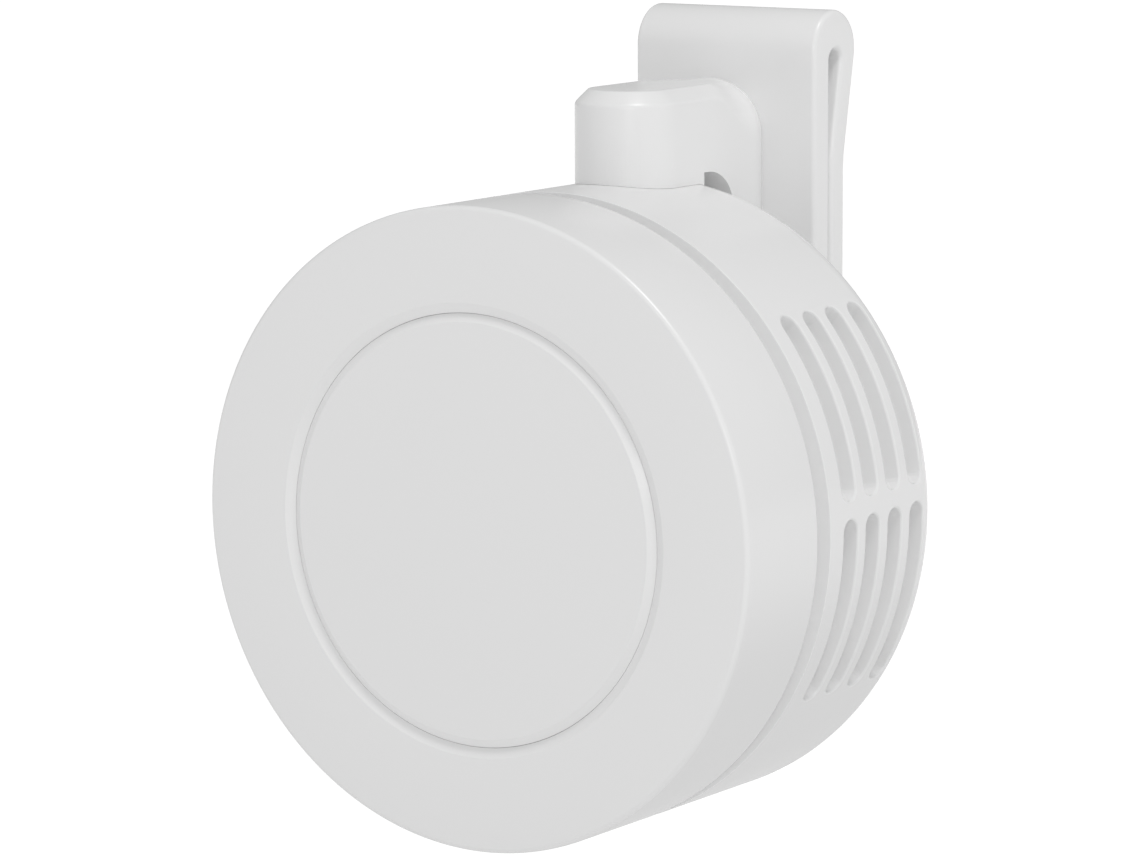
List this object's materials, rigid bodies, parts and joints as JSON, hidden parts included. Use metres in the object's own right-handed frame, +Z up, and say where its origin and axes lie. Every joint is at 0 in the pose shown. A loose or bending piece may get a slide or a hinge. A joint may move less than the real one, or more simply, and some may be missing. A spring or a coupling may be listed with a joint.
{
  "type": "clip-on environmental sensor",
  "caption": "Round clip-on environmental sensor: a white drum with a pressable front disc, a wide groove, side vent slots, a short neck and a folded spring clip.",
  "frame": {"origin": "middle of the gripping area on the flat inner face of the clip's fixed leg", "axes": "-Y is the way the front disc faces, +Y points out of the gripping face towards the sprung leg, +Z up, X along the clip's width"},
  "size_m": [0.06, 0.0524, 0.0754],
  "materials": {
    "shell_plastic": "satin white moulded plastic",
    "clip_plastic": "satin white moulded plastic, springy grade",
    "seal_rubber": "matt grey silicone",
    "screen_mesh": "fine light grey woven mesh",
    "circuit_board": "green solder mask",
    "dark_plastic": "matt black moulded plastic",
    "steel": "plain steel",
    "spring_brass": "plain spring brass"
  },
  "bodies": {
    "housing": {"front_shell": "shell_plastic", "groove_ring": "shell_plastic", "rear_shell": "shell_plastic", "neck_arm": "shell_plastic", "clip_fixed_leg": "clip_plastic", "button_cushion": "seal_rubber", "vent_screen_left": "screen_mesh", "vent_screen_right": "screen_mesh", "main_board": "circuit_board", "sensor_board": "circuit_board", "switch_body": "dark_plastic", "antenna_chip": "dark_plastic", "battery_holder": "dark_plastic", "board_connector": "dark_plastic", "humidity_sensor": "dark_plastic", "radio_shield": "steel", "coin_cell": "steel", "gas_sensor": "steel", "pressure_sensor": "steel", "case_screw_1": "steel", "case_screw_2": "steel", "case_screw_3": "steel", "case_screw_4": "steel", "board_screw_1": "steel", "board_screw_2": "steel", "board_screw_3": "steel", "sensor_screw_1": "steel", "sensor_screw_2": "steel", "neck_screw_1": "steel", "neck_screw_2": "steel", "clip_screw_1": "steel", "clip_screw_2": "steel", "contact_negative": "spring_brass", "contact_positive": "spring_brass"},
    "button": {"front_button": "shell_plastic"},
    "plunger": {"switch_plunger": "shell_plastic"},
    "clip_leg": {"clip_sprung_leg": "clip_plastic"}
  },
  "joints": [
    {"name": "button_press", "type": "slide", "parent": "housing", "child": "button", "axis": [0, 1, 0], "range_m": [0, 0.0008], "stiffness_N_per_m": 1500, "springref_m": -0.0003},
    {"name": "plunger_press", "type": "slide", "parent": "housing", "child": "plunger", "axis": [0, 1, 0], "range_m": [0, 0.0008]},
    {"name": "clip_flex", "type": "hinge", "parent": "housing", "child": "clip_leg", "pos_m": [0, 0.00457, 0.0289], "axis": [1, 0, 0], "range_deg": [0, 8], "stiffness_Nm_per_rad": 0.8, "springref_deg": -2.86}
  ],
  "couplings": [
    {"joint": "plunger_press", "follows": "button_press", "ratio": 1}
  ]
}
